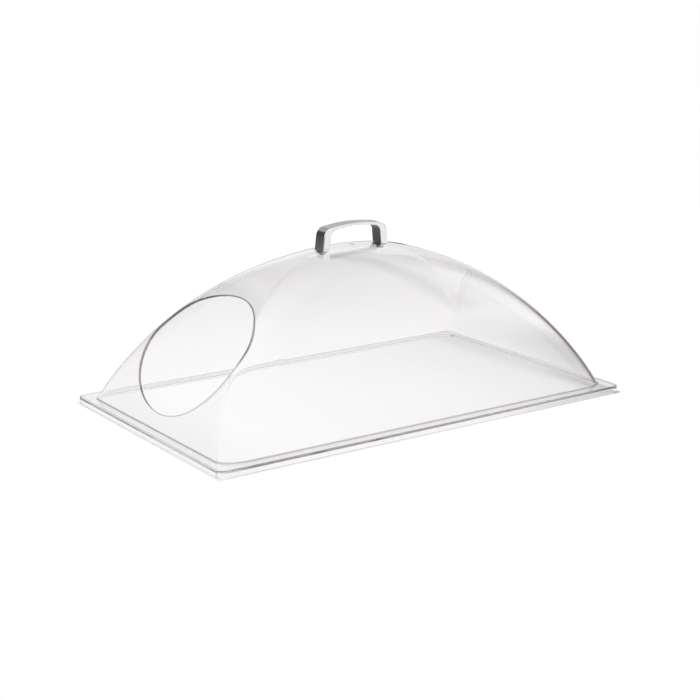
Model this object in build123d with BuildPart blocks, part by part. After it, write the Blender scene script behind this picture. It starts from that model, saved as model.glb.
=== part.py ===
"""A clear rectangular food cover: a one-piece dome with an oval serving opening and a strap handle.

Millimetres. X runs along the cover, with the serving opening in the -X end, Y across it and Z up.
The origin is the middle of the rim on the table.
"""
import os
from math import atan2, cos, pi, radians, sin, tan

from build123d import *

# Rim: a flat flange with a short skirt round the dome
cover_length = 508.0
cover_width = 304.8
rim_corner_radius = 11.0
rim_edge_chamfer = 0.8
flange_width = 11.7
skirt_height = 7.8
wall = 3.0

# Dome above the flange: half(s) = base half * (1 - s^rise_power)^(1/run_power), with s the share of rise
dome_rise = 161.6
end_run_power = 2.213
end_rise_power = 1.270
side_run_power = 2.286
side_rise_power = 0.854
flank_angle = 62.0
# Each level has straight sides and elliptical corners, whose share of it grows to the whole at the crown
corner_tightness = 7.53
corner_fade = 1.034
level_count = 21
crown_share = 0.9995

# Oval serving opening
opening_width = 164.9
opening_length = 142.1
opening_level = 74.4
opening_tilt = 35.3
opening_reach = 60.0

# Gate mark that the moulding leaves at the crown
gate_diameter = 4.8
gate_depth = 0.5

# Strap handle
handle_rise = 24.1
handle_arch = 4.2
handle_width = 16.5
bar_thickness = 2.8
foot_outer_span = 85.2
foot_inner_span = 67.2
shoulder_outer_span = 78.4
shoulder_inner_span = 63.0
shoulder_outer_radius = 10.5
shoulder_inner_radius = 7.5
handle_edge_chamfer = 0.6
foot_trim = 8.0

# Screws and washers that hold the handle from inside
screw_span = 75.0
screw_diameter = 4.0
screw_grip = 5.0
screw_head_diameter = 8.0
screw_head_height = 2.6
screw_clearance = 0.25
bore_clearance = 0.05
bore_end_gap = 1.0
washer_diameter = 12.0
washer_thickness = 1.0
seat_clearance = 0.3

# Sizes that follow
dome_half_length = cover_length / 2 - flange_width
dome_half_width = cover_width / 2 - flange_width
crown_height = skirt_height + crown_share * dome_rise
handle_top = crown_height + handle_rise
core_inset = wall * tan(radians(flank_angle / 2))
screw_hole_diameter = screw_diameter + 2 * screw_clearance


def half_at(base_half, share, run_power, rise_power):
    """Half the dome's length or width at a share of its rise."""
    return base_half * (1 - share**rise_power) ** (1 / run_power)


def ridge_height(x):
    """Height of the dome's outside along its middle line."""
    run = abs(x) / dome_half_length
    return skirt_height + dome_rise * (1 - run**end_run_power) ** (1 / end_rise_power)


def dome_level(half_length, half_width, base_height, share):
    """One level of the dome: straight sides joined by elliptical corners."""
    half_x = half_at(half_length, share, end_run_power, end_rise_power)
    half_y = half_at(half_width, share, side_run_power, side_rise_power)
    corner = 1 / (1 + corner_tightness * (1 - share) ** corner_fade)
    flat_x = half_x * (1 - corner)
    flat_y = half_y * (1 - corner)
    with BuildSketch(Plane.XY.offset(base_height + share * dome_rise)) as level:
        with BuildLine():
            for side in (-1, 1):
                Line((-flat_x, side * half_y), (flat_x, side * half_y))
                Line((side * half_x, -flat_y), (side * half_x, flat_y))
            for quarter, (side_x, side_y) in enumerate(((1, 1), (-1, 1), (-1, -1), (1, -1))):
                centre = (side_x * flat_x, side_y * flat_y)
                EllipticalCenterArc(centre, corner * half_x, corner * half_y, 90 * quarter)
        make_face()
    return level.sketch


def dome_form(half_length, half_width, base_height):
    """A solid dome lofted through its levels, closer together towards the small flat at the crown."""
    shares = [crown_share * sin(pi / 2 * level / level_count) for level in range(level_count + 1)]
    levels = [dome_level(half_length, half_width, base_height, share) for share in shares]
    with BuildPart() as form:
        loft(sections=levels, ruled=True)
    return form.part


def strap_arch(foot_span, shoulder_span, top, shoulder_radius):
    """The handle's outer or inner outline, seen from the front, down to below the crown."""
    foot_level = crown_height - foot_trim
    with BuildSketch(Plane.XZ) as arch:
        with BuildLine():
            left = (-shoulder_span / 2, top - handle_arch)
            right = (shoulder_span / 2, top - handle_arch)
            ThreePointArc(left, (0, top), right)
            Polyline(right, (foot_span / 2, foot_level), (-foot_span / 2, foot_level), left)
        make_face()
        fillet(arch.vertices().group_by(Axis.Y)[-1], shoulder_radius)
    return arch.sketch


def foot_plane(side, depth=0.0):
    """The plane square to the dome at a screw, a depth below its outside."""
    x = screw_span / 2
    step = screw_diameter / 2
    lean = atan2(ridge_height(x - step) - ridge_height(x + step), 2 * step)
    out = Vector(side * sin(lean), 0, cos(lean))
    return Plane(Vector(side * x, 0, ridge_height(x)) - out * depth, x_dir=(0, 1, 0), z_dir=out)


dome_outside = dome_form(dome_half_length, dome_half_width, skirt_height)
dome_inside = dome_form(dome_half_length - core_inset, dome_half_width - core_inset, skirt_height - wall)

# Where the oval cutter's axis meets the end of the dome
opening_x = -half_at(dome_half_length, opening_level / dome_rise, end_run_power, end_rise_power)
opening_out = Vector(-cos(radians(opening_tilt)), 0, sin(radians(opening_tilt)))
opening_plane = Plane((opening_x, 0, skirt_height + opening_level), x_dir=(0, 1, 0), z_dir=opening_out)

# One-piece clear moulding
with BuildPart() as dome_cover:
    with BuildSketch():
        RectangleRounded(cover_length, cover_width, rim_corner_radius)
    extrude(amount=skirt_height)
    chamfer(dome_cover.edges().group_by(Axis.Z)[-1], rim_edge_chamfer)
    add(dome_outside)
    with BuildSketch():
        RectangleRounded(cover_length - 2 * wall, cover_width - 2 * wall, rim_corner_radius - wall)
    extrude(amount=skirt_height - wall, mode=Mode.SUBTRACT)
    add(dome_inside, mode=Mode.SUBTRACT)
    with BuildSketch(opening_plane):
        Ellipse(opening_width / 2, opening_length / 2)
    extrude(amount=opening_reach, both=True, mode=Mode.SUBTRACT)
    with BuildSketch(Plane.XY.offset(crown_height)):
        Circle(gate_diameter / 2)
    extrude(amount=-gate_depth, mode=Mode.SUBTRACT)
    for side in (-1, 1):
        with BuildSketch(foot_plane(side)):
            Circle(screw_hole_diameter / 2)
        extrude(amount=wall, both=True, mode=Mode.SUBTRACT)
        with BuildSketch(foot_plane(side, wall)):
            Circle(washer_diameter / 2 + seat_clearance)
        extrude(amount=-washer_thickness, mode=Mode.SUBTRACT)

# Bright-plated handle, its feet shaped to the dome
with BuildPart() as handle:
    extrude(
        strap_arch(foot_outer_span, shoulder_outer_span, handle_top, shoulder_outer_radius),
        amount=handle_width / 2,
        both=True,
    )
    chamfer(handle.faces().filter_by(Axis.Y).edges(), handle_edge_chamfer)
    extrude(
        strap_arch(foot_inner_span, shoulder_inner_span, handle_top - bar_thickness, shoulder_inner_radius),
        amount=handle_width / 2,
        both=True,
        mode=Mode.SUBTRACT,
    )
    add(dome_outside, mode=Mode.SUBTRACT)
    for side in (-1, 1):
        with BuildSketch(foot_plane(side)):
            Circle(screw_diameter / 2 + bore_clearance)
        extrude(amount=screw_grip + bore_end_gap, both=True, mode=Mode.SUBTRACT)

pieces = {"dome_cover": dome_cover, "handle": handle}

# A washer and a pan-head screw under each foot
for name, side in (("left", -1), ("right", 1)):
    with BuildPart() as washer:
        with BuildSketch(foot_plane(side, wall)):
            Circle(washer_diameter / 2)
            Circle(screw_hole_diameter / 2, mode=Mode.SUBTRACT)
        extrude(amount=-washer_thickness)
    with BuildPart() as screw:
        head_plane = foot_plane(side, wall + washer_thickness)
        with BuildSketch(head_plane):
            Circle(screw_head_diameter / 2)
        extrude(amount=-screw_head_height)
        with BuildSketch(head_plane):
            Circle(screw_diameter / 2)
        extrude(amount=washer_thickness + wall + screw_grip)
    pieces[f"{name}_washer"] = washer
    pieces[f"{name}_screw"] = screw

os.makedirs("parts", exist_ok=True)
for name, piece in pieces.items():
    piece.part.label = name
    export_step(piece.part, f"parts/{name}.step")
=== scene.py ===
"""Clear food cover with an oval serving opening and a plated strap handle, dressed for rendering.

Sizes are written in millimetres and turned to metres where a mesh is made. X runs along the cover with the
opening in the -X end, Y across it and Z up, with the origin in the middle of the rim on the table.
"""
from math import acos, atan2, cos, hypot, pi, radians, sin

import bpy
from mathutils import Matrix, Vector


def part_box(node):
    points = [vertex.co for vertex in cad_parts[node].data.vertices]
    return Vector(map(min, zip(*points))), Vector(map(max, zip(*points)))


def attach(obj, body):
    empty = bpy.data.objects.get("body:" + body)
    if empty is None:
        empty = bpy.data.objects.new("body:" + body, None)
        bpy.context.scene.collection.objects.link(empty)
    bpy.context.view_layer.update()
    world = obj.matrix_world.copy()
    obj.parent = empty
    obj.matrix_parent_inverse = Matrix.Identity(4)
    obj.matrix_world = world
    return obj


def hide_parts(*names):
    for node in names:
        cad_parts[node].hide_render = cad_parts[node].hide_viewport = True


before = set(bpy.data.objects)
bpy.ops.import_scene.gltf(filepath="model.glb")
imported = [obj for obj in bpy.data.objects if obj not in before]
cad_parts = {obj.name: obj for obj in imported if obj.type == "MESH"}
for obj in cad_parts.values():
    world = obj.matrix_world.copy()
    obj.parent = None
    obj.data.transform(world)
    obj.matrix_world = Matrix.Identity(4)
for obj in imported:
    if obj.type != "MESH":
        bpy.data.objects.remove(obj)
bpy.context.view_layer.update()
MM = 0.001

# Rim of the moulding
_, rim_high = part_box("dome_cover")
half_length = rim_high[0] / MM
half_width = rim_high[1] / MM
rim_corner_radius = 9.0
rim_edge_radius = 1.6
rim_inner_radius = 1.0
foot_edge_radius = 0.5
flange_width = 11.7
skirt_height = 7.8
wall = 3.0
root_run = 1.2
root_rise = 1.6
inner_edge = 0.8

# Dome: half(s) = base half * (1 - s^rise_power)^(1/run_power), s being the share of the rise
dome_rise = 161.6
end_run_power = 2.213
end_rise_power = 1.270
side_run_power = 2.286
side_rise_power = 0.854
corner_tightness = 7.53
corner_fade = 1.034
base_half_length = half_length - flange_width
base_half_width = half_width - flange_width

# Oval serving opening, cut straight along a tilted axis
opening_width = 164.9
opening_length = 142.1
opening_level = 74.4
opening_tilt = radians(35.3)
opening_edge_radius = 0.5

# Gate mark at the crown
gate_radius = 2.4
gate_depth = 0.5

# Rows of the mesh, half the length of the crown's cap, and how much of the root's painted brown shade the
# rim's round edge takes
corner_steps = 24
side_steps = 48
end_steps = 32
dome_steps = 84
root_steps = 6
rim_edge_steps = 12
flange_shares = (0.02, 0.35, 0.7, 0.98)
cap_half_length = 16.0
rim_edge_shade = 0.25

# Strap handle
crown_height = skirt_height + dome_rise
handle_low, handle_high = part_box("handle")
handle_top = handle_high[2] / MM
handle_width = (handle_high[1] - handle_low[1]) / MM
handle_arch = 4.2
bar_thickness = 2.8
foot_outer_span = 85.2
foot_inner_span = 67.2
shoulder_outer_span = 78.4
shoulder_inner_span = 63.0
shoulder_outer_radius = 10.5
shoulder_inner_radius = 7.5
handle_edge_radius = 0.9
handle_strips = 8
shoulder_steps = 12
arch_steps = 16
foot_trim = 8.0

# Screws
screw_span = 75.0
screw_diameter = 4.0
screw_grip = 5.0
screw_head_diameter = 8.0
screw_head_height = 2.6
screw_hole_diameter = 4.5
washer_diameter = 12.0
washer_thickness = 1.0
seat_clearance = 0.3
thread_pitch = 0.7
thread_root = 0.84
thread_clearance = 0.05
head_rounding = 1.7
recess_width = 1.2
recess_length = 4.2
recess_depth = 1.4
recess_taper = 0.45
hole_sides = 62
screw_sides = 48

# Camera, fitted to the rim's edges in the photograph
view_azimuth = -34.76
view_elevation = 14.97
view_distance = 1.7202
view_right = -0.0016455
view_up = 0.051051
lens_in_widths = 1580 / 700


# The moulding's surface

def half_at(base_half, share, run_power, rise_power):
    """Half the dome's length or width at a share of its rise."""
    return base_half * max(0.0, 1 - share**rise_power) ** (1 / run_power)


def ring_at(share):
    """Half sizes and corner sizes of the dome's level at a share of its rise."""
    half_x = half_at(base_half_length, share, end_run_power, end_rise_power)
    half_y = half_at(base_half_width, share, side_run_power, side_rise_power)
    corner = 1 / (1 + corner_tightness * (1 - share) ** corner_fade)
    return half_x, half_y, corner * half_x, corner * half_y


def share_at(run):
    """Share of the rise at which the dome's length is a given share of its base length."""
    return (1 - run**end_run_power) ** (1 / end_rise_power)


def ring_point(ring, height, place):
    """A point of a level. Places 0 to 8 run round it: corner, side, corner, end and so on."""
    half_x, half_y, corner_x, corner_y = ring
    zone = int(place) % 8
    along = place - int(place)
    signs = ((1, 1), (-1, 1), (-1, -1), (1, -1))
    sign_x, sign_y = signs[zone // 2]
    if zone % 2 == 0:
        angle = pi / 2 * (zone // 2 + along)
    else:
        angle = pi / 2 * (zone // 2 + 1)
        next_x, next_y = signs[(zone // 2 + 1) % 4]
        sign_x += (next_x - sign_x) * along
        sign_y += (next_y - sign_y) * along
    x = sign_x * (half_x - corner_x) + corner_x * cos(angle)
    y = sign_y * (half_y - corner_y) + corner_y * sin(angle)
    return Vector((x, y, height))


def outside(place, turn):
    """A point of the dome's outside. Turn runs from 0 at the flange to 1 at the crown."""
    share = share_at(cos(pi / 2 * turn))
    return ring_point(ring_at(share), skirt_height + share * dome_rise, place)


def outward(place, turn):
    """The direction square to the dome's outside."""
    step = 0.002
    along = outside(place + step, turn) - outside(place - step, turn)
    up = outside(place, min(turn + step, 0.999)) - outside(place, max(turn - step, 0.001))
    return along.cross(up).normalized()


def inside(place, turn):
    """A point of the dome's inside, one wall thickness in."""
    return outside(place, turn) - wall * outward(place, turn)


def level_of(x, y):
    """Share of the rise at which a point of the plan lies on the dome."""
    low, high = 0.0, 1.0
    for _ in range(45):
        share = (low + high) / 2
        half_x, half_y, corner_x, corner_y = ring_at(share)
        over_x = max(abs(x) - (half_x - corner_x), 0.0) / max(corner_x, 1e-9)
        over_y = max(abs(y) - (half_y - corner_y), 0.0) / max(corner_y, 1e-9)
        if hypot(over_x, over_y) < 1:
            low = share
        else:
            high = share
    return low


def dome_height(x, y):
    """Height of the dome's outside over a point of the plan."""
    return skirt_height + level_of(x, y) * dome_rise


# The moulding's mesh

places = []
for zone, steps in enumerate((corner_steps, side_steps, corner_steps, end_steps) * 2):
    places += [zone + step / steps for step in range(steps)]


def mix(first, second, share):
    """A point or number between two others."""
    return first + (second - first) * share


def grown(ring, amount):
    """A level's sizes with an amount added all round."""
    return tuple(size + amount for size in ring)


def turn_at_height(height):
    """The dome's turn at a height above the flange."""
    run = (1 - (height / dome_rise) ** end_rise_power) ** (1 / end_run_power)
    return acos(run) * 2 / pi


base_ring = ring_at(0.0)
root_turn = turn_at_height(root_rise)
cap_run = cap_half_length / base_half_length
cap_turn = acos(cap_run) * 2 / pi
rim_ring = (half_length, half_width, rim_corner_radius, rim_corner_radius)


def root_point(place, share):
    """The hollow curve by which the flange runs into the dome, from 0 on the flange to 1 on the dome."""
    foot = grown(base_ring, root_run)
    head = ring_at(root_rise / dome_rise)
    ring = tuple(
        (1 - share) ** 2 * outer + 2 * share * (1 - share) * corner + share**2 * inner
        for outer, corner, inner in zip(foot, base_ring, head)
    )
    return ring_point(ring, skirt_height + share**2 * root_rise, place)


def root_inside(place, share):
    """The small rounding by which the flange's underside runs into the dome's inside."""
    step = 0.004
    low = inside(place, root_turn)
    climb = (inside(place, root_turn + step) - low).normalized()
    corner = low - climb * ((low.z - (skirt_height - wall)) / climb.z)
    level = outward(place, root_turn)
    under = corner + inner_edge * Vector((level.x, level.y, 0.0)).normalized()
    above = corner + inner_edge * climb
    return (1 - share) ** 2 * under + 2 * share * (1 - share) * corner + share**2 * above


def cap_row(share, radius, sunk, thickness):
    """A row of the crown, going from the dome's last level at share 0 to a circle at share 1."""
    level = ring_at(share_at(cap_run))
    row = []
    for place in places:
        edge = ring_point(level, 0.0, place)
        angle = atan2(edge.y / level[1], edge.x / level[0])
        point = mix(edge, Vector((radius * cos(angle), radius * sin(angle), 0.0)), share)
        x, y = point.x, point.y
        step = 0.5
        slope_x = (dome_height(x + step, y) - dome_height(x - step, y)) / (2 * step)
        slope_y = (dome_height(x, y + step) - dome_height(x, y - step)) / (2 * step)
        top = Vector((x, y, dome_height(x, y) - sunk))
        row.append(top - thickness * Vector((-slope_x, -slope_y, 1.0)).normalized())
    return row


def gate_sink(radius):
    """Depth of the round gate mark at a distance from the crown."""
    edge = 0.5
    share = min(max((gate_radius - radius) / edge + 0.5, 0.0), 1.0)
    return gate_depth * share * share * (3 - 2 * share)


def rim_rows():
    """Rows of the flange, its round edge, the skirt and its foot, from the root outside to the root inside.
    A narrow row stands beside each rounded edge, so that the flats stay flat to the eye."""
    rows = []
    beside = 0.15
    underside = skirt_height - wall

    def row(inset, height):
        rows.append([ring_point(grown(rim_ring, -inset), height, place) for place in places])

    def bend(inset, height, radius, start, end, steps):
        for step in range(steps + 1):
            angle = radians(mix(start, end, step / steps))
            row(inset - radius * cos(angle), height + radius * sin(angle))

    def flat(first, last, shares, height):
        for share in shares:
            ring = tuple(mix(near, far, share) for near, far in zip(first, last))
            rows.append([ring_point(ring, height, place) for place in places])

    flange_end = grown(rim_ring, -rim_edge_radius)
    flat(grown(base_ring, root_run), flange_end, flange_shares, skirt_height)
    bend(rim_edge_radius, skirt_height - rim_edge_radius, rim_edge_radius, 90, 0, rim_edge_steps)
    for height in (skirt_height - rim_edge_radius - beside, skirt_height / 2, foot_edge_radius + beside):
        row(0.0, height)
    bend(foot_edge_radius, foot_edge_radius, foot_edge_radius, 0, -90, 6)
    row(foot_edge_radius + beside, 0.0)
    row(wall - foot_edge_radius - beside, 0.0)
    bend(wall - foot_edge_radius, foot_edge_radius, foot_edge_radius, -90, -180, 6)
    row(wall, foot_edge_radius + beside)
    row(wall, underside - rim_inner_radius - beside)
    bend(wall + rim_inner_radius, underside - rim_inner_radius, rim_inner_radius, 0, 90, 8)
    flat(grown(rim_ring, -wall - rim_inner_radius), base_ring, (*flange_shares[:-1], 1.0), underside)
    last_share = 0.93
    last_row = []
    for place in places:
        under_base = ring_point(base_ring, underside, place)
        last_row.append(mix(under_base, root_inside(place, 0.0), last_share))
    rows.append(last_row)
    return rows


# The opening's cutting frame, with its axis square to the oval
opening_share = opening_level / dome_rise
opening_centre = Vector((-ring_at(opening_share)[0], 0.0, skirt_height + opening_level))
opening_axis = Vector((-cos(opening_tilt), 0.0, sin(opening_tilt)))
opening_across = Vector((0.0, 1.0, 0.0))
opening_up = Vector((sin(opening_tilt), 0.0, cos(opening_tilt)))


def on_oval(surface, angle, grow, guess):
    """The place and turn where a skin meets the oval, grown by an amount, at an angle round it."""
    place, turn = guess
    target_across = (opening_width / 2 + grow) * cos(angle)
    target_up = (opening_length / 2 + grow) * sin(angle)
    step = 0.0005
    longest_place_step = 0.2
    longest_turn_step = 0.05

    def miss(at_place, at_turn):
        offset = surface(at_place, at_turn) - opening_centre
        return offset.dot(opening_across) - target_across, offset.dot(opening_up) - target_up

    for _ in range(12):
        across, up = miss(place, turn)
        across_p, up_p = miss(place + step, turn)
        across_t, up_t = miss(place, turn + step)
        a, b = (across_p - across) / step, (across_t - across) / step
        c, d = (up_p - up) / step, (up_t - up) / step
        det = a * d - b * c
        place_step = (d * across - b * up) / det
        turn_step = (a * up - c * across) / det
        place -= max(-longest_place_step, min(longest_place_step, place_step))
        turn -= max(-longest_turn_step, min(longest_turn_step, turn_step))
    return place, turn


def build_moulding():
    """The whole clear moulding as one closed skin, laid out by formula because its double curves and the
    oval cut in them are out of reach of the modelling operators."""
    turns = [mix(root_turn, cap_turn, step / dome_steps) for step in range(dome_steps + 1)]
    cap_radii = (4.6, 3.7, 3.1, 2.75, 2.55, 2.4, 2.25, 2.05, 1.7, 0.9)
    rows = []
    for radius in reversed(cap_radii):
        rows.append(cap_row(1.0, radius, gate_sink(radius), 0.0))
    for share in (0.75, 0.5, 0.25):
        rows.append(cap_row(share, cap_radii[0], 0.0, 0.0))
    outer_first = len(rows)
    for turn in reversed(turns):
        rows.append([outside(place, turn) for place in places])
    for step in reversed(range(root_steps)):
        rows.append([root_point(place, step / root_steps) for place in places])
    rim_first = len(rows)
    rows += rim_rows()
    for step in range(root_steps):
        rows.append([root_inside(place, step / root_steps) for place in places])
    inner_first = len(rows)
    for turn in turns:
        rows.append([inside(place, turn) for place in places])
    for share in (0.25, 0.5, 0.75):
        rows.append(cap_row(share, cap_radii[0], 0.0, wall))
    for radius in cap_radii:
        rows.append(cap_row(1.0, radius, 0.0, wall))

    points = [point for row in rows for point in row]
    count = len(places)
    # The root's rounding rows and the rim's round edge get a painted brown shade, for the dark lines that
    # light makes there
    row_shades = [0.0] * len(rows)
    for step in range(1, root_steps):
        mark = 1 - abs(2 * step / root_steps - 1)
        row_shades[rim_first - 1 - step] = mark
        row_shades[inner_first - root_steps + step] = mark
    edge_first = rim_first + len(flange_shares)
    row_shades[edge_first:edge_first + rim_edge_steps + 1] = [rim_edge_shade] * (rim_edge_steps + 1)
    root_shades = [mark for mark in row_shades for _ in places]
    top = len(points)
    points.append(Vector((0.0, 0.0, dome_height(0, 0) - gate_depth)))
    points.append(Vector((0.0, 0.0, dome_height(0, 0) - wall)))
    last = (len(rows) - 1) * count

    # The block of faces that makes way for the oval, by place along the end and turn up the dome
    block_low = 8.0
    block_high = 134.0
    block_corner = 11
    first_k = places.index(2 + block_corner / corner_steps)
    last_k = places.index(4 + (corner_steps - block_corner) / corner_steps)
    first_j = min(j for j, turn in enumerate(turns) if turn > turn_at_height(block_low))
    last_j = max(j for j, turn in enumerate(turns) if turn < turn_at_height(block_high))

    def outer_id(j, k):
        return (outer_first + dome_steps - j) * count + k

    def inner_id(j, k):
        return (inner_first + j) * count + k

    faces = []
    for r in range(len(rows) - 1):
        on_outside = outer_first <= r < outer_first + dome_steps
        on_inside = inner_first <= r < inner_first + dome_steps
        j = outer_first + dome_steps - 1 - r if on_outside else r - inner_first
        for k in range(count):
            if (on_outside or on_inside) and first_j <= j < last_j and first_k <= k < last_k:
                continue
            low, high = r * count, (r + 1) * count
            following = (k + 1) % count
            faces.append((low + k, high + k, high + following, low + following))
    for k in range(count):
        following = (k + 1) % count
        faces.append((top, k, following))
        faces.append((top + 1, last + following, last + k))

    # Walk round the block and lead its edge in to the oval, through the cut and out again inside
    border = [(first_j, k) for k in range(first_k, last_k)]
    border += [(j, last_k) for j in range(first_j, last_j)]
    border += [(last_j, k) for k in range(last_k, first_k, -1)]
    border += [(j, first_k) for j in range(last_j, first_j, -1)]
    middle_place = 3.5
    middle_turn = turn_at_height(opening_level)
    lead = (0.8, 0.62, 0.46, 0.32, 0.2, 0.11, 0.05, 0.02)
    round_steps = 8
    beside = 0.12
    ring_count = 2 * (len(lead) + round_steps + 1)
    columns = []
    for j, k in border:
        edge = (places[k], turns[j])
        offset = outside(*edge) - opening_centre
        across = offset.dot(opening_across) / (opening_width / 2)
        up = offset.dot(opening_up) / (opening_length / 2)
        angle = atan2(up, across)
        reach = hypot(across, up)
        guess = (mix(middle_place, edge[0], 1 / reach), mix(middle_turn, edge[1], 1 / reach))
        column = []
        for surface, side in ((outside, -1), (inside, 1)):
            start = on_oval(surface, angle, opening_edge_radius, guess)
            run = [surface(mix(start[0], edge[0], share), mix(start[1], edge[1], share)) for share in lead]
            for step in range(round_steps):
                turned = pi / 2 * step / (round_steps - 1)
                at = on_oval(surface, angle, opening_edge_radius * (1 - sin(turned)), guess)
                sunk = opening_edge_radius * (1 - cos(turned))
                run.append(surface(*at) + side * sunk * opening_axis)
            run.append(surface(*at) + side * (sunk + beside) * opening_axis)
            column += run if side < 0 else list(reversed(run))
        columns.append(column)
    ring_start = len(points)
    for column in columns:
        points += column

    def strip(b):
        """The points from the block's edge outside, through the cut, to its edge inside."""
        first = ring_start + b * ring_count
        return [outer_id(*border[b]), *range(first, first + ring_count), inner_id(*border[b])]

    for b in range(len(border)):
        here = strip(b)
        there = strip((b + 1) % len(border))
        for i in range(ring_count + 1):
            faces.append((here[i], there[i], there[i + 1], here[i + 1]))

    mesh = bpy.data.meshes.new("clear_moulding")
    mesh.from_pydata([point * MM for point in points], [], faces)
    # The cut of the opening is marked for its dull gloss and for a painted brown shade
    column_marks = [0.0] * len(lead) + [0.5] + [1.0] * round_steps
    column_marks += list(reversed(column_marks))
    routed_marks = [0.0] * ring_start + column_marks * len(columns)
    root_shades += [0.0] * (len(points) - len(root_shades))
    for name, marks in (("routed_edge_and_shade", routed_marks), ("root_shade", root_shades)):
        mesh.attributes.new(name, "FLOAT", "POINT").data.foreach_set("value", marks)
    piece = bpy.data.objects.new("clear_moulding", mesh)
    bpy.context.scene.collection.objects.link(piece)
    return piece


# Working with the operators

def clear_selection():
    """Leave edit mode with nothing selected."""
    if bpy.context.object and bpy.context.object.mode != "OBJECT":
        bpy.ops.object.mode_set(mode="OBJECT")
    bpy.ops.object.select_all(action="DESELECT")


def make_active(piece):
    """Select one piece alone."""
    clear_selection()
    piece.select_set(True)
    bpy.context.view_layer.objects.active = piece


def pick(piece, kind, test):
    """In edit mode, select the faces or edges of a piece that pass a test."""
    bpy.context.tool_settings.mesh_select_mode = (False, kind == "edges", kind == "polygons")
    bpy.ops.object.mode_set(mode="EDIT")
    bpy.ops.mesh.select_all(action="DESELECT")
    bpy.ops.object.mode_set(mode="OBJECT")
    for element in getattr(piece.data, kind):
        element.select = test(element)
    bpy.ops.object.mode_set(mode="EDIT")


def cut_away(piece, cutter):
    """Take a cutter's volume out of a piece and remove the cutter."""
    make_active(piece)
    modifier = piece.modifiers.new("cut", "BOOLEAN")
    modifier.operation = "DIFFERENCE"
    modifier.solver = "EXACT"
    modifier.object = cutter
    bpy.ops.object.modifier_apply(modifier=modifier.name)
    bpy.data.objects.remove(cutter, do_unlink=True)


def smooth(piece, angle):
    """Shade a piece smooth, with edges sharper than an angle left hard."""
    make_active(piece)
    bpy.ops.object.shade_smooth_by_angle(angle=radians(angle))


def weigh_normals(piece):
    """Keep large flat faces flat to the eye where they run into rounded edges."""
    make_active(piece)
    modifier = piece.modifiers.new("flats", "WEIGHTED_NORMAL")
    modifier.keep_sharp = True
    bpy.ops.object.modifier_apply(modifier=modifier.name)


def foot_frame(side, depth):
    """Place and lean of a screw's axis, a depth below the dome's outside."""
    x = screw_span / 2
    step = screw_diameter / 2
    lean = atan2(dome_height(x - step, 0) - dome_height(x + step, 0), 2 * step)
    out = Vector((side * sin(lean), 0.0, cos(lean)))
    return Vector((side * x, 0.0, dome_height(x, 0))) - out * depth, side * lean


# Clear moulding, with the screw holes and washer seats cut in it

moulding = build_moulding()
for side in (-1, 1):
    for radius, low, high in (
        (screw_hole_diameter / 2, 2 * wall, -wall),
        (washer_diameter / 2 + seat_clearance, wall + washer_thickness, wall),
    ):
        centre, lean = foot_frame(side, (low + high) / 2)
        clear_selection()
        bpy.ops.mesh.primitive_cylinder_add(
            vertices=hole_sides,
            radius=radius * MM,
            depth=(low - high) * MM,
            location=centre * MM,
            rotation=(0.0, lean, 0.0),
        )
        cut_away(moulding, bpy.context.object)
smooth(moulding, 40)


# Strap handle

def strap_line(foot_span, shoulder_span, top, radius):
    """One face of the strap seen from the front, as x and z, from the right foot over to the left foot."""
    shoulder = Vector((shoulder_span / 2, top - handle_arch))
    foot = Vector((foot_span / 2, crown_height - foot_trim))
    down = (foot - shoulder).normalized()
    for _ in range(8):
        foot += down * (foot.y - dome_height(foot.x, 0))
    arch_radius = (shoulder.x**2 + handle_arch**2) / (2 * handle_arch)
    arch_centre = Vector((0.0, top - arch_radius))
    inwards = Vector((down.y, -down.x))
    start = shoulder + inwards * radius - arch_centre
    lean = start.dot(down)
    run = -lean - (lean**2 - start.length_squared + (arch_radius - radius) ** 2) ** 0.5
    knuckle = shoulder + inwards * radius + down * run
    first = atan2(-inwards.y, -inwards.x)
    last = atan2(knuckle.y - arch_centre.y, knuckle.x)
    line = [foot]
    for step in range(shoulder_steps + 1):
        angle = mix(first, last, step / shoulder_steps)
        line.append(knuckle + radius * Vector((cos(angle), sin(angle))))
    for step in range(1, arch_steps + 1):
        angle = mix(last, pi / 2, step / arch_steps)
        line.append(arch_centre + arch_radius * Vector((cos(angle), sin(angle))))
    return line + [Vector((-point.x, point.y)) for point in reversed(line[:-1])]


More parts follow.
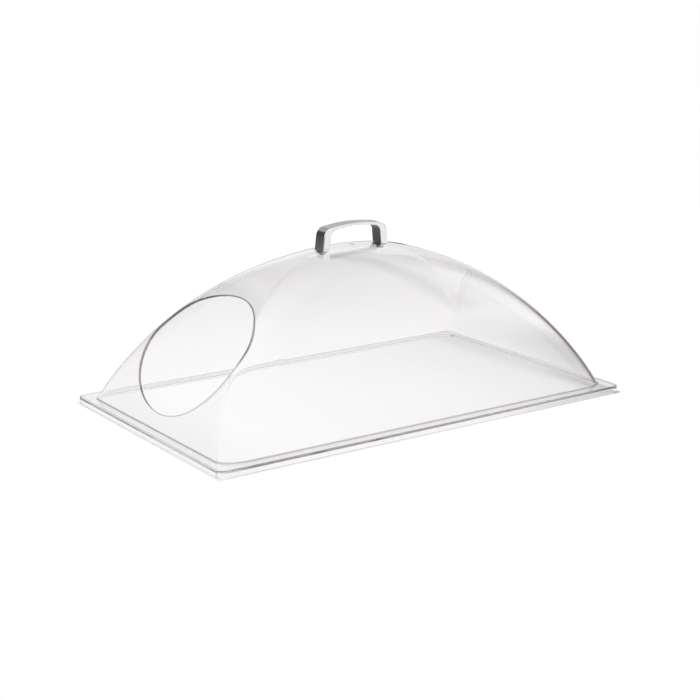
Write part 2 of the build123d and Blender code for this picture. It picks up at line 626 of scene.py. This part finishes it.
def build_handle():
    """The strap's outline filled, pulled through its width in strips, its feet laid on the dome and its
    long edges rounded."""
    outer = strap_line(foot_outer_span, shoulder_outer_span, handle_top, shoulder_outer_radius)
    inner_top = handle_top - bar_thickness
    inner = strap_line(foot_inner_span, shoulder_inner_span, inner_top, shoulder_inner_radius)
    outline = outer + list(reversed(inner))
    clear_selection()
    bpy.ops.mesh.primitive_circle_add(vertices=len(outline), radius=0.05, fill_type="NGON")
    handle = bpy.context.object
    handle.name = "strap_handle"
    for vertex, point in zip(handle.data.vertices, outline):
        vertex.co = Vector((point.x, -handle_width / 2, point.y)) * MM
    bpy.ops.object.mode_set(mode="EDIT")
    bpy.ops.mesh.select_all(action="SELECT")
    one_strip = (0.0, handle_width / handle_strips * MM, 0.0)
    for _ in range(handle_strips):
        bpy.ops.mesh.extrude_region_move(TRANSFORM_OT_translate={"value": one_strip})
    bpy.ops.mesh.select_all(action="SELECT")
    bpy.ops.mesh.normals_make_consistent(inside=False)
    bpy.ops.object.mode_set(mode="OBJECT")
    foot_line = crown_height - 0.5
    feet = [vertex for vertex in handle.data.vertices if vertex.co.z / MM < foot_line]
    for vertex in feet:
        vertex.co.z = dome_height(vertex.co.x / MM, vertex.co.y / MM) * MM
    foot_ids = {vertex.index for vertex in feet}

    def long_edge(edge):
        ends = [handle.data.vertices[index].co for index in edge.vertices]
        on_face = all(abs(abs(end.y) - handle_width / 2 * MM) < 1e-6 for end in ends)
        return on_face and ends[0].y * ends[1].y > 0 and not foot_ids.issuperset(edge.vertices)

    pick(handle, "edges", long_edge)
    bpy.ops.mesh.bevel(offset=handle_edge_radius * MM, segments=4, profile=0.5, affect="EDGES")
    bpy.ops.object.mode_set(mode="OBJECT")
    smooth(handle, 40)
    weigh_normals(handle)
    return handle


handle = build_handle()


# Pan-head screws

def build_screw():
    """A screw along Z: a domed head with a cross recess below zero, and its thread above."""
    clear_selection()
    bpy.ops.mesh.primitive_cylinder_add(
        vertices=screw_sides,
        radius=screw_head_diameter / 2 * MM,
        depth=screw_head_height * MM,
        location=(0.0, 0.0, -screw_head_height / 2 * MM),
    )
    screw = bpy.context.object
    bpy.ops.object.transform_apply(location=True, rotation=True, scale=True)
    pick(screw, "polygons", lambda face: face.normal.z > 0.9)
    shank_radius = screw_diameter / 2 - thread_clearance
    bpy.ops.mesh.inset(thickness=(screw_head_diameter / 2 - shank_radius) * MM)
    half_pitch = (0.0, 0.0, thread_pitch / 2 * MM)
    thread_turns = int((washer_thickness + wall + screw_grip) / thread_pitch)
    for _ in range(thread_turns):
        for size in (thread_root, 1 / thread_root):
            bpy.ops.mesh.extrude_region_move(TRANSFORM_OT_translate={"value": half_pitch})
            bpy.ops.transform.resize(value=(size, size, 1.0))
    bpy.ops.object.mode_set(mode="OBJECT")

    def head_rim(edge):
        ends = [screw.data.vertices[index].co.z for index in edge.vertices]
        return max(ends) < -(screw_head_height - 0.01) * MM

    pick(screw, "edges", head_rim)
    bpy.ops.mesh.bevel(offset=head_rounding * MM, segments=8, profile=0.5, affect="EDGES")
    bpy.ops.object.mode_set(mode="OBJECT")
    for quarter in range(2):
        clear_selection()
        bpy.ops.mesh.primitive_cube_add(
            size=1.0,
            location=(0.0, 0.0, -screw_head_height * MM),
            rotation=(0.0, 0.0, pi / 2 * quarter),
            scale=(recess_length * MM, recess_width * MM, 2 * recess_depth * MM),
        )
        slot = bpy.context.object
        bpy.ops.object.transform_apply(location=True, rotation=True, scale=True)
        pick(slot, "polygons", lambda face: face.normal.z > 0.9)
        bpy.ops.transform.resize(value=(recess_taper, recess_taper, 1.0))
        bpy.ops.object.mode_set(mode="OBJECT")
        cut_away(screw, slot)
    smooth(screw, 35)
    return screw


first_screw = build_screw()
screws = []
for name, side in (("left", -1), ("right", 1)):
    screw = first_screw.copy()
    screw.data = first_screw.data.copy()
    screw.name = f"{name}_pan_screw"
    bpy.context.scene.collection.objects.link(screw)
    place, lean = foot_frame(side, wall + washer_thickness)
    screw.location = place * MM
    screw.rotation_euler = (0.0, lean, 0.0)
    make_active(screw)
    bpy.ops.object.transform_apply(location=True, rotation=True, scale=True)
    screws.append(screw)
bpy.data.objects.remove(first_screw, do_unlink=True)


# Materials

def colour(hex_text):
    """An sRGB hex value as linear colour."""
    parts = [int(hex_text[i:i + 2], 16) / 255 for i in (1, 3, 5)]
    return [part / 12.92 if part <= 0.04045 else ((part + 0.055) / 1.055) ** 2.4 for part in parts] + [1.0]


def add_node(tree, kind, settings=None, inputs=None):
    """Add a node. An input is given a value, or a link when it is another node's socket."""
    node = tree.nodes.new(kind)
    for key, value in (settings or {}).items():
        setattr(node, key, value)
    for key, value in (inputs or {}).items():
        if isinstance(value, bpy.types.NodeSocket):
            tree.links.new(value, node.inputs[key])
        else:
            node.inputs[key].default_value = value
    return node


def new_material(name):
    """An empty material and its surface shader."""
    material = bpy.data.materials.new(name)
    material.use_nodes = True
    return material, material.node_tree, material.node_tree.nodes["Principled BSDF"]


# Clear polycarbonate, injection moulded in a polished tool: water-clear with a faint warm cast, a hard
# gloss, and slow waves in the surface that make its reflections wander. The cut of the opening is dulled. A
# brown-grey painted shade is mixed into the tint at the root of the dome, the rim's edge and the cut of the
# opening, for the dark lines that light running along inside the plastic makes there
wave_length = 0.06
polycarbonate, tree, shader = new_material("clear_polycarbonate")
position = add_node(tree, "ShaderNodeTexCoord").outputs["Object"]
waves = add_node(
    tree,
    "ShaderNodeTexNoise",
    None,
    {"Vector": position, "Scale": 1 / wave_length, "Detail": 1.0},
)
bump = add_node(
    tree,
    "ShaderNodeBump",
    None,
    {"Height": waves.outputs["Fac"], "Strength": 0.1, "Distance": 0.0004},
)
# Painted shade: brown-grey mixed into the tint along the root, the rim's edge and the cut of the opening
root = add_node(tree, "ShaderNodeAttribute", {"attribute_name": "root_shade"}).outputs["Fac"]
routed = add_node(tree, "ShaderNodeAttribute", {"attribute_name": "routed_edge_and_shade"}).outputs["Fac"]
tint = add_node(
    tree,
    "ShaderNodeMix",
    {"data_type": "RGBA"},
    {"Factor": root, "A": colour("#FBFAFB"), "B": colour("#867C79")},
)
tint = add_node(
    tree,
    "ShaderNodeMix",
    {"data_type": "RGBA"},
    {"Factor": routed, "A": tint.outputs["Result"], "B": colour("#9C908D")},
)
gloss = add_node(tree, "ShaderNodeMapRange", None, {"Value": routed, "To Min": 0.01, "To Max": 0.3})
tree.links.new(bump.outputs["Normal"], shader.inputs["Normal"])
tree.links.new(tint.outputs["Result"], shader.inputs["Base Color"])
tree.links.new(gloss.outputs["Result"], shader.inputs["Roughness"])
shader.inputs["IOR"].default_value = 1.585
shader.inputs["Transmission Weight"].default_value = 1.0
depth = add_node(tree, "ShaderNodeVolumeAbsorption", None, {"Color": colour("#DFDAD9"), "Density": 5.6})
tree.links.new(depth.outputs["Volume"], tree.nodes["Material Output"].inputs["Volume"])


def chrome(name, tint, grain_size, finest, coarsest):
    """Chrome plating on a pressed steel strap: a mirror with the grain of its polishing."""
    material, tree, shader = new_material(name)
    position = add_node(tree, "ShaderNodeTexCoord").outputs["Object"]
    grain = add_node(
        tree,
        "ShaderNodeTexNoise",
        None,
        {"Vector": position, "Scale": 1 / grain_size, "Detail": 3.0},
    )
    gloss = add_node(
        tree,
        "ShaderNodeMapRange",
        None,
        {
            "Value": grain.outputs["Fac"],
            "From Min": 0.3,
            "From Max": 0.7,
            "To Min": finest,
            "To Max": coarsest,
        },
    )
    tree.links.new(gloss.outputs["Result"], shader.inputs["Roughness"])
    shader.inputs["Base Color"].default_value = colour(tint)
    shader.inputs["Metallic"].default_value = 1.0
    return material


# Bright chrome on the strap's sides and rounded edges: a mirror with a faint polishing grain
plating = chrome("bright_chrome_plating", "#E6E6E7", 0.004, 0.05, 0.1)

# The same plating with a satin grain along the band's outer face: a softer mirror, painted darker as shade
satin_and_shaded_plating = chrome("satin_chrome_and_painted_shade", "#B0B0B3", 0.004, 0.12, 0.18)

# The same plating inside the arch, where the polishing wheel doesn't reach: dull, and painted dark as shade
dull_and_shaded_plating = chrome("dull_chrome_and_painted_shade", "#5C5B5A", 0.0015, 0.3, 0.45)


def zinc(name, dark, light, rough):
    """Dull zinc-plated steel, barrel finished: a cloudy grey with a soft, uneven shine."""
    cloud_size = 0.002
    material, tree, shader = new_material(name)
    position = add_node(tree, "ShaderNodeTexCoord").outputs["Object"]
    cloud = add_node(
        tree,
        "ShaderNodeTexNoise",
        None,
        {"Vector": position, "Scale": 1 / cloud_size, "Detail": 4.0},
    )
    tint = add_node(tree, "ShaderNodeValToRGB", None, {"Fac": cloud.outputs["Fac"]})
    tint.color_ramp.elements[0].color = colour(dark)
    tint.color_ramp.elements[0].position = 0.35
    tint.color_ramp.elements[1].color = colour(light)
    tint.color_ramp.elements[1].position = 0.65
    bump = add_node(
        tree,
        "ShaderNodeBump",
        None,
        {"Height": cloud.outputs["Fac"], "Strength": 0.3, "Distance": 0.00005},
    )
    tree.links.new(tint.outputs["Color"], shader.inputs["Base Color"])
    tree.links.new(bump.outputs["Normal"], shader.inputs["Normal"])
    shader.inputs["Metallic"].default_value = 1.0
    shader.inputs["Roughness"].default_value = rough
    return material


screw_steel = zinc("zinc_plated_screw_steel", "#7C7772", "#9C9892", 0.38)
washer_steel = zinc("zinc_plated_washer_steel", "#8C8883", "#A9A6A1", 0.32)


def dress(piece, material):
    """Give a piece one material all over."""
    piece.data.materials.clear()
    piece.data.materials.append(material)


for piece, node, slot, material in (
    (moulding, "dome_cover", "clear_polycarbonate", polycarbonate),
    (handle, "handle", "bright_plating", plating),
    (screws[0], "left_screw", "screw_steel", screw_steel),
    (screws[1], "right_screw", "screw_steel", screw_steel),
):
    dress(piece, material)
    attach(piece, "root")
    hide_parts(node)

# The strap's outer face is satin and the inside of its arch dull, both painted darker as shade, told apart by
# which way a face looks
handle.data.materials.append(satin_and_shaded_plating)
handle.data.materials.append(dull_and_shaded_plating)
tilt = 0.2
arch_line = handle_top - bar_thickness + 0.2
middle_reach = 20
for face in handle.data.polygons:
    x, y, z = face.center / MM
    on_band = abs(face.normal.y) < tilt
    under_arch = abs(x) < foot_inner_span / 2 and z < arch_line
    inwards = face.normal.x * x + (face.normal.z - tilt) * middle_reach < 0
    if on_band and under_arch and inwards:
        face.material_index = 2
    elif on_band and face.normal.z > -tilt and not inwards:
        face.material_index = 1
for node in ("left_washer", "right_washer"):
    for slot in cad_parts[node].material_slots:
        slot.material = washer_steel


# Floor, world, lamps and camera

# Light reaches the table through the clear wall, so the moulding throws no shadow of its own
moulding.visible_shadow = False
moulding.visible_diffuse = False

table_radius = 1.35
table_drop = 0.0002
clear_selection()
bpy.ops.mesh.primitive_circle_add(
    vertices=128,
    radius=table_radius,
    fill_type="NGON",
    location=(0.0, 0.0, -table_drop),
)
floor = bpy.context.object
floor.name = "floor"

# White paper with painted shade. Under the cover it is painted a little darker, as if the cover took a little
# of its light, least at the opening and more along the ends of the rim and under the front of the rim towards
# the right, with a thin painted contact shadow at the rim's foot. In the plastic and the plating, but not
# straight from the camera, the paper is also painted darker towards the back, with a streak and two patches
# of painted soft shadow to the right.
# A patch is given by its x and y, the radii at which it starts and ends to fade, and its depth
streak_across = (0.956, -0.292, 0.0)
streak_place = 0.284
patches = ((0.45, -0.06, 0.08, 0.26, 0.5), (0.35, 0.13, 0.04, 0.13, 0.1))
multiply = {"operation": "MULTIPLY"}
soft = {"interpolation_type": "SMOOTHSTEP"}
paper, tree, shader = new_material("white_paper_with_painted_shade")
position = add_node(tree, "ShaderNodeTexCoord").outputs["Object"]
axes = add_node(tree, "ShaderNodeSeparateXYZ", None, {"Vector": position})
along = axes.outputs["X"]
across = axes.outputs["Y"]
seen = add_node(tree, "ShaderNodeLightPath").outputs["Is Camera Ray"]

# How far a point lies outside the rim, negative under the cover
spread = add_node(tree, "ShaderNodeVectorMath", {"operation": "ABSOLUTE"}, {0: position})
rim_half = (half_length * MM, half_width * MM, 0.0)
past_rim = add_node(
    tree,
    "ShaderNodeVectorMath",
    {"operation": "SUBTRACT"},
    {0: spread.outputs["Vector"], 1: rim_half},
)
past_axes = add_node(tree, "ShaderNodeSeparateXYZ", None, {"Vector": past_rim.outputs["Vector"]})
rim_gap = add_node(
    tree,
    "ShaderNodeMath",
    {"operation": "MAXIMUM"},
    {0: past_axes.outputs["X"], 1: past_axes.outputs["Y"]},
).outputs["Value"]

# How far it lies from the middle of the streak
reach = add_node(
    tree,
    "ShaderNodeVectorMath",
    {"operation": "DOT_PRODUCT"},
    {0: position, 1: streak_across},
)
offset = add_node(
    tree,
    "ShaderNodeMath",
    {"operation": "SUBTRACT"},
    {0: reach.outputs["Value"], 1: streak_place},
)
streak_gap = add_node(
    tree,
    "ShaderNodeMath",
    {"operation": "ABSOLUTE"},
    {0: offset.outputs["Value"]},
).outputs["Value"]

# Each part of the painted shade is a product of soft ramps: what a ramp follows, where it starts and ends,
# and its level at the start and at the end
under_cover = (rim_gap, 0.004, -0.01, 0.0, 1.0)
within_rim = (rim_gap, 0.0, 0.002, 1.0, 0.0)
beyond_rim = (rim_gap, 0.0, 0.02, 0.0, 1.0)
unseen = (seen, 0.0, 1.0, 1.0, 0.0)
parts = [
    [under_cover, (along, -0.2, 0.25, 0.04, 0.1)],
    [under_cover, (along, 0.08, 0.24, 0.0, 0.07)],
    [under_cover, (along, -0.15, -0.22, 0.0, 0.04)],
    [within_rim, (along, 0.21, 0.25, 0.0, 0.13)],
    [
        within_rim,
        (rim_gap, -0.03, -0.004, 0.0, 0.2),
        (along, 0.06, 0.2, 0.0, 1.0),
        (across, 0.0, -0.12, 0.0, 1.0),
    ],
    [(rim_gap, -0.007, -0.001, 0.0, 0.16), (rim_gap, 0.0, 0.003, 1.0, 0.0)],
    [unseen, (across, 0.1, 0.9, 0.0, 0.25)],
    [unseen, (streak_gap, 0.0, 0.045, 0.16, 0.0), (across, 0.22, 0.3, 0.0, 1.0)],
]
for x, y, inner, outer, depth in patches:
    gap = add_node(tree, "ShaderNodeVectorMath", {"operation": "DISTANCE"}, {0: position, 1: (x, y, 0.0)})
    parts.append([unseen, beyond_rim, (gap.outputs["Value"], inner, outer, depth, 0.0)])
ramp_sockets = ("Value", "From Min", "From Max", "To Min", "To Max")
shade = 0.0
for part in parts:
    product = 1.0
    for ramp in part:
        step = add_node(tree, "ShaderNodeMapRange", soft, dict(zip(ramp_sockets, ramp))).outputs["Result"]
        product = add_node(tree, "ShaderNodeMath", multiply, {0: product, 1: step}).outputs["Value"]
    shade = add_node(tree, "ShaderNodeMath", {"operation": "ADD"}, {0: shade, 1: product}).outputs["Value"]
for socket, level in (("Base Color", "#F2F2F2"), ("Emission Color", "#FFFFFF")):
    shaded = add_node(
        tree,
        "ShaderNodeMix",
        {"data_type": "RGBA"},
        {"Factor": shade, "A": colour(level), "B": colour("#000000")},
    )
    tree.links.new(shaded.outputs["Result"], shader.inputs[socket])
shader.inputs["Roughness"].default_value = 0.9
shader.inputs["Emission Strength"].default_value = 0.16
dress(floor, paper)


def towards(azimuth, elevation):
    """The direction at an azimuth, in degrees from the front towards +X, and an elevation."""
    turn = radians(azimuth)
    climb = radians(elevation)
    return Vector((sin(turn) * cos(climb), -cos(turn) * cos(climb), sin(climb)))


# A dark card behind the left leg of the handle, which only reflections see. It gives that leg and shoulder
# their dark side
card_radius = 0.16
card_core = 0.08
card_distance = 0.3
card_azimuth = -148
card_elevation = 13
left_leg_place = Vector((-0.04, 0.0, 0.18))
card_out = towards(card_azimuth, card_elevation)
clear_selection()
bpy.ops.mesh.primitive_circle_add(vertices=64, radius=card_radius, fill_type="NGON")
card = bpy.context.object
card.name = "dark_card"
card.location = left_leg_place + card_distance * card_out
card.rotation_euler = (-card_out).to_track_quat("Z", "Y").to_euler()
card.visible_camera = False
card.visible_diffuse = False
card.visible_transmission = False
card.visible_shadow = False
card_paper, tree, shader = new_material("black_card")
position = add_node(tree, "ShaderNodeTexCoord").outputs["Object"]
out = add_node(tree, "ShaderNodeVectorMath", {"operation": "LENGTH"}, {0: position}).outputs["Value"]
fade = add_node(
    tree,
    "ShaderNodeMapRange",
    soft,
    {"Value": out, "From Min": card_core, "From Max": card_radius},
)
glow = add_node(
    tree,
    "ShaderNodeMix",
    {"data_type": "RGBA"},
    {"Factor": fade.outputs["Result"], "A": colour("#606060"), "B": colour("#E6E6E6")},
)
tree.links.new(glow.outputs["Result"], shader.inputs["Emission Color"])
shader.inputs["Base Color"].default_value = colour("#000000")
shader.inputs["Specular IOR Level"].default_value = 0.0
shader.inputs["Emission Strength"].default_value = 1.0
dress(card, card_paper)

# The studio round the table, as metal and clear plastic see it: a pale room with pools of light and dark,
# each given in degrees by its azimuth, its elevation and the radii at which it starts and ends to fade, and
# then by the levels outside and inside it
room_level = 0.4
studio = {
    "front_softbox": ("ADD", -35, 40, 50, 115, 0.0, 1.1),
    "left_glow": ("ADD", -148, 14, 10, 26, 0.0, 0.38),
    "dark_right": ("MULTIPLY", 110, 32, 36, 66, 1.0, 0.45),
    "right_softbox": ("ADD", 80, 36, 8, 22, 0.0, 0.8),
    "ceiling": ("ADD", 152, 55, 15, 42, 0.0, 0.3),
    "low_back_glow": ("ADD", 156, 14, 4, 10, 0.0, 0.15),
    "back_glow": ("ADD", 144, 16, 8, 28, 0.0, 0.5),
    "dark_low_right": ("MULTIPLY", 104, 6, 6, 18, 1.0, 0.2),
    "dark_low_front": ("MULTIPLY", -5, -4, 12, 38, 1.0, 0.25),
    "dark_low_left": ("MULTIPLY", -105, -4, 12, 38, 1.0, 0.25),
}
table_edge_level = 0.15

# Low down the clear wall shows white beyond the table, but not towards these pools
low_right = (108, 0, 12, 26, 1.0, 0.0)
unlit = (low_right, studio["dark_low_front"][1:], studio["dark_low_left"][1:])

world = bpy.data.worlds.new("studio")
world.use_nodes = True
bpy.context.scene.world = world
tree = world.node_tree
direction = add_node(tree, "ShaderNodeTexCoord").outputs["Generated"]
height = add_node(tree, "ShaderNodeSeparateXYZ", None, {"Vector": direction}).outputs["Z"]


def pool(azimuth, elevation, inner, outer, low, high):
    """A soft round pool in the studio, from a level outside it to a level inside."""
    near = add_node(
        tree,
        "ShaderNodeVectorMath",
        {"operation": "DOT_PRODUCT"},
        {0: direction, 1: towards(azimuth, elevation)},
    )
    return add_node(
        tree,
        "ShaderNodeMapRange",
        soft,
        {
            "Value": near.outputs["Value"],
            "From Min": cos(radians(outer)),
            "From Max": cos(radians(inner)),
            "To Min": low,
            "To Max": high,
        },
    ).outputs["Result"]


level = room_level
for operation, *shape in studio.values():
    levels = {0: level, 1: pool(*shape)}
    level = add_node(tree, "ShaderNodeMath", {"operation": operation}, levels).outputs["Value"]
room = add_node(
    tree,
    "ShaderNodeMix",
    {"data_type": "RGBA", "clamp_factor": False},
    {"Factor": level, "A": colour("#7B6E6B"), "B": colour("#FFFFFF")},
)
table_edge = add_node(
    tree,
    "ShaderNodeMapRange",
    soft,
    {"Value": height, "From Min": -0.02, "From Max": 0.01, "To Min": table_edge_level, "To Max": 1.0},
)
surround = add_node(
    tree,
    "ShaderNodeVectorMath",
    {"operation": "SCALE"},
    {"Vector": room.outputs["Result"], "Scale": table_edge.outputs["Result"]},
).outputs["Vector"]
rays = add_node(tree, "ShaderNodeLightPath")
through = add_node(
    tree,
    "ShaderNodeMapRange",
    soft,
    {"Value": height, "From Min": 0.1, "From Max": 0.3, "To Min": 1.0, "To Max": 0.0},
).outputs["Result"]
gaps = [pool(*shape) for shape in unlit]
for factor in (rays.outputs["Is Transmission Ray"], *gaps):
    through = add_node(tree, "ShaderNodeMath", multiply, {0: through, 1: factor}).outputs["Value"]
for factor, white in (
    (through, "#FFFFFF"),
    (rays.outputs["Is Diffuse Ray"], "#C4C4C4"),
    (rays.outputs["Is Camera Ray"], "#FFFFFF"),
):
    surround = add_node(
        tree,
        "ShaderNodeMix",
        {"data_type": "RGBA"},
        {"Factor": factor, "A": surround, "B": colour(white)},
    ).outputs["Result"]
tree.links.new(surround, tree.nodes["Background"].inputs["Color"])


def soft_light(name, place, strength):
    """A very wide, even lamp shining from a place to the middle of the table."""
    spread = 50
    clear_selection()
    bpy.ops.object.light_add(type="SUN", location=place)
    lamp = bpy.context.object
    lamp.name = name
    lamp.data.angle = radians(spread)
    lamp.data.energy = strength
    lamp.visible_glossy = False
    lamp.visible_transmission = False
    lamp.rotation_euler = (-Vector(place)).to_track_quat("-Z", "Y").to_euler()


soft_light("left_light", (-1.3, -1.5, 2.0), 1.1)
soft_light("right_light", (1.9, 0.2, 2.2), 0.6)

back = towards(view_azimuth, view_elevation)
right = (-back).cross(Vector((0.0, 0.0, 1.0))).normalized()
up = back.cross(right)
clear_selection()
bpy.ops.object.camera_add(location=back * view_distance + right * view_right + up * view_up)
camera = bpy.context.object
camera.rotation_euler = (-back).to_track_quat("-Z", "Y").to_euler()
camera.data.lens = camera.data.sensor_width * lens_in_widths
bpy.context.scene.camera = camera
bpy.context.scene.view_settings.view_transform = "Standard"

# Light runs along the clear rim in many hundreds of small bounces before it leaves it
light_bounces = 1000
bpy.context.scene.cycles.max_bounces = light_bounces
bpy.context.scene.cycles.glossy_bounces = light_bounces
bpy.context.scene.cycles.transmission_bounces = light_bounces
